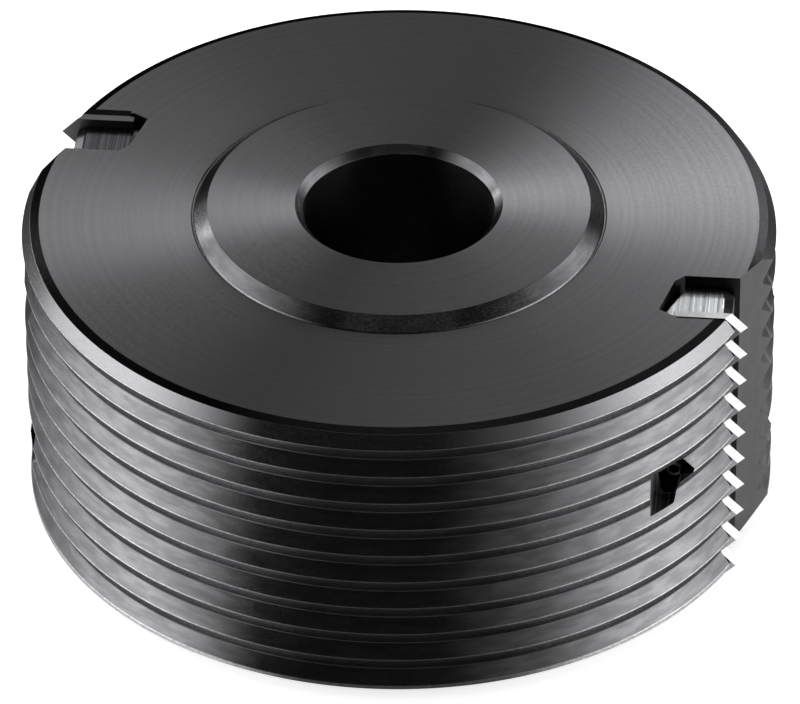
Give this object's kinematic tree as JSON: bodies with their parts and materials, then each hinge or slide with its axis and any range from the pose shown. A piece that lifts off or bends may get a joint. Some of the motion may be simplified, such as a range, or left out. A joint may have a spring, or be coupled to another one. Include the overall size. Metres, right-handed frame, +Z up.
{
  "type": "jointing cutter head",
  "caption": "Moulder cutter head for glue joints: a ridged steel body with a raised hub and a bore, and toothed knives clamped by wedges",
  "frame": {"origin": "centre of the bore at the lower face, on which the cutter head stands", "axes": "+Z up along the bore, towards the raised hub; the knife on +X is turned 27 degrees towards -Y, and the head turns anticlockwise seen from +Z"},
  "size_m": [0.1178, 0.1178, 0.0518],
  "materials": {
    "body_steel": "dark satin, turned",
    "knife_steel": "ground bright",
    "wedge_steel": "milled",
    "screw_steel": "black oxide"
  },
  "bodies": {
    "root": {"cutter_body": "body_steel", "knife_1": "knife_steel", "knife_2": "knife_steel", "wedge_1": "wedge_steel", "wedge_2": "wedge_steel", "rear_screw_1": "screw_steel", "rear_screw_2": "screw_steel", "front_screw_1_lower": "screw_steel", "front_screw_1_upper": "screw_steel", "front_screw_2_lower": "screw_steel", "front_screw_2_upper": "screw_steel"}
  },
  "joints": []
}
